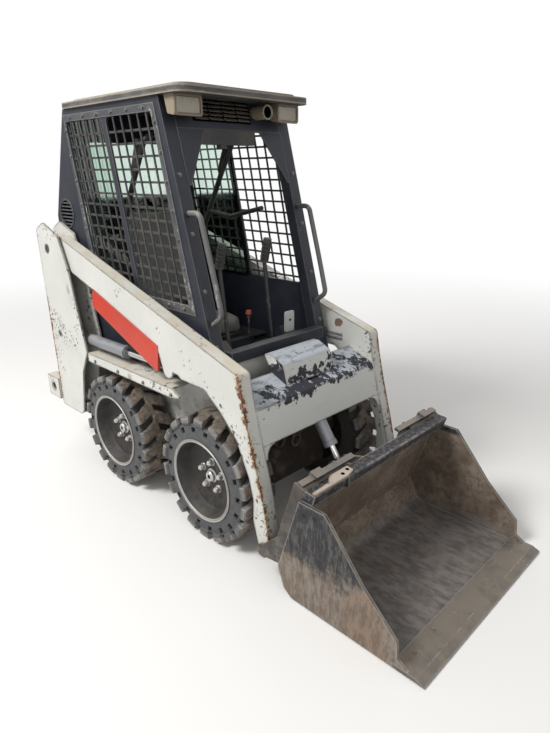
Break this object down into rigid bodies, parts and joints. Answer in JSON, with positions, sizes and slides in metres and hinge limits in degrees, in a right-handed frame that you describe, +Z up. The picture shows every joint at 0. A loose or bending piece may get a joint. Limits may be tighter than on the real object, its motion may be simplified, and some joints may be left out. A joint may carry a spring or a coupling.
{
  "type": "skid steer loader",
  "caption": "Compact skid steer loader with an open-front screened cab, side lift arms, quick coupler, dirt bucket and solid tyres, on real joints.",
  "frame": {"origin": "middle of the bounding box, on the ground under the tyres", "axes": "-Y forward to the bucket, +X to the machine's left, +Z up"},
  "size_m": [0.914, 2.486, 1.814],
  "materials": {
    "body_paint": "worn off-white machine paint, chipped and rust-streaked",
    "cab_paint": "dusty black cab paint",
    "roof_paint": "black roof paint worn grey at its edges",
    "screen_paint": "black painted wire",
    "handle_paint": "black tube, worn by hands",
    "bar_paint": "black tube",
    "lever_paint": "dusty black levers",
    "support_paint": "bright red-orange paint",
    "coupler_paint": "worn dark paint",
    "bucket_steel": "paint worn to dark, rusty steel",
    "edge_steel": "ground-polished wear steel",
    "pin_steel": "dull steel",
    "barrel_paint": "grey cylinder paint",
    "rod_chrome": "hard chrome",
    "axle_iron": "dirty cast iron",
    "engine_iron": "cast iron",
    "window_glass": "slightly green safety glass",
    "seat_vinyl": "worn grey vinyl",
    "panel_plastic": "black moulded panel",
    "lamp_plastic": "lamp housings with beige lenses",
    "tyre_rubber": "dusty solid rubber",
    "rim_paint": "black wheel paint with a bare rim ring"
  },
  "bodies": {
    "chassis": {"chassis_frame": "body_paint", "fenders": "body_paint", "tower_right": "body_paint", "tower_left": "body_paint", "pivot_pins": "pin_steel", "axle_housings": "axle_iron", "engine_block": "engine_iron", "rear_bumper": "body_paint", "engine_cover": "cab_paint", "cab_frame": "cab_paint", "cab_sides": "cab_paint", "cab_roof": "roof_paint", "side_screens": "screen_paint", "window_glass": "window_glass", "seat_base": "cab_paint", "seat_cushions": "seat_vinyl", "control_levers": "lever_paint", "overhead_panel": "panel_plastic", "lamps": "lamp_plastic", "grab_handles": "handle_paint"},
    "lift_arms": {"arm_right": "body_paint", "arm_left": "body_paint", "cross_member": "body_paint", "tilt_cover": "body_paint", "arm_support": "support_paint"},
    "tool": {"coupler": "coupler_paint", "coupler_levers": "pin_steel", "bucket": "bucket_steel", "cutting_edge": "edge_steel"},
    "lift_barrel_right": {"lift_barrel_right": "barrel_paint"},
    "lift_rod_right": {"lift_rod_right": "rod_chrome"},
    "lift_barrel_left": {"lift_barrel_left": "barrel_paint"},
    "lift_rod_left": {"lift_rod_left": "rod_chrome"},
    "tilt_barrel": {"tilt_barrel": "barrel_paint"},
    "tilt_rod": {"tilt_rod": "rod_chrome"},
    "seat_bar": {"seat_bar": "bar_paint"},
    "tailgate": {"tailgate": "body_paint"},
    "wheel_front_right": {"tyre_front_right": "tyre_rubber", "rim_front_right": "rim_paint"},
    "wheel_front_left": {"tyre_front_left": "tyre_rubber", "rim_front_left": "rim_paint"},
    "wheel_rear_right": {"tyre_rear_right": "tyre_rubber", "rim_rear_right": "rim_paint"},
    "wheel_rear_left": {"tyre_rear_left": "tyre_rubber", "rim_rear_left": "rim_paint"}
  },
  "joints": [
    {"name": "arm_lift", "type": "hinge", "parent": "chassis", "child": "lift_arms", "pos_m": [0, 1.002, 1.138], "axis": [-1, 0, 0], "range_deg": [0, 76]},
    {"name": "bucket_tilt", "type": "hinge", "parent": "lift_arms", "child": "tool", "pos_m": [0, -0.527, 0.125], "axis": [1, 0, 0], "range_deg": [-22, 110]},
    {"name": "lift_barrel_swing_right", "type": "hinge", "parent": "chassis", "child": "lift_barrel_right", "pos_m": [-0.405, 0.982, 0.7], "axis": [-1, 0, 0], "range_deg": [-0.5, 63.5]},
    {"name": "lift_rod_slide_right", "type": "slide", "parent": "lift_barrel_right", "child": "lift_rod_right", "axis": [0, -0.9999, 0.017], "range_m": [-0.001, 0.474]},
    {"name": "lift_barrel_swing_left", "type": "hinge", "parent": "chassis", "child": "lift_barrel_left", "pos_m": [0.405, 0.982, 0.7], "axis": [-1, 0, 0], "range_deg": [-0.5, 63.5]},
    {"name": "lift_rod_slide_left", "type": "slide", "parent": "lift_barrel_left", "child": "lift_rod_left", "axis": [0, -0.9999, 0.017], "range_m": [-0.001, 0.474]},
    {"name": "tilt_barrel_swing", "type": "hinge", "parent": "lift_arms", "child": "tilt_barrel", "pos_m": [0, -0.258, 0.735], "axis": [1, 0, 0], "range_deg": [-1, 2.5]},
    {"name": "tilt_rod_slide", "type": "slide", "parent": "tilt_barrel", "child": "tilt_rod", "axis": [0, -0.5698, -0.8218], "range_m": [-0.0575, 0.282]},
    {"name": "seat_bar_swing", "type": "hinge", "parent": "chassis", "child": "seat_bar", "pos_m": [0, 0.637, 1.18], "axis": [1, 0, 0], "range_deg": [0, 70]},
    {"name": "tailgate_swing", "type": "hinge", "parent": "chassis", "child": "tailgate", "pos_m": [0.345, 1.104, 0.775], "axis": [0, 0, -1], "range_deg": [0, 90]},
    {"name": "wheel_front_right_spin", "type": "hinge", "parent": "chassis", "child": "wheel_front_right", "pos_m": [-0.364, -0.161, 0.28], "axis": [1, 0, 0], "continuous": true},
    {"name": "wheel_front_left_spin", "type": "hinge", "parent": "chassis", "child": "wheel_front_left", "pos_m": [0.364, -0.161, 0.28], "axis": [1, 0, 0], "continuous": true},
    {"name": "wheel_rear_right_spin", "type": "hinge", "parent": "chassis", "child": "wheel_rear_right", "pos_m": [-0.364, 0.531, 0.28], "axis": [1, 0, 0], "continuous": true},
    {"name": "wheel_rear_left_spin", "type": "hinge", "parent": "chassis", "child": "wheel_rear_left", "pos_m": [0.364, 0.531, 0.28], "axis": [1, 0, 0], "continuous": true}
  ],
  "couplings": [
    {"joint": "lift_barrel_swing_right", "follows": "arm_lift", "ratio": 0.8276},
    {"joint": "lift_rod_slide_right", "follows": "arm_lift", "m_per_rad": 0.3555},
    {"joint": "lift_barrel_swing_left", "follows": "arm_lift", "ratio": 0.8276},
    {"joint": "lift_rod_slide_left", "follows": "arm_lift", "m_per_rad": 0.3555},
    {"joint": "tilt_barrel_swing", "follows": "bucket_tilt", "ratio": 0.0156},
    {"joint": "tilt_rod_slide", "follows": "bucket_tilt", "m_per_rad": 0.146}
  ]
}
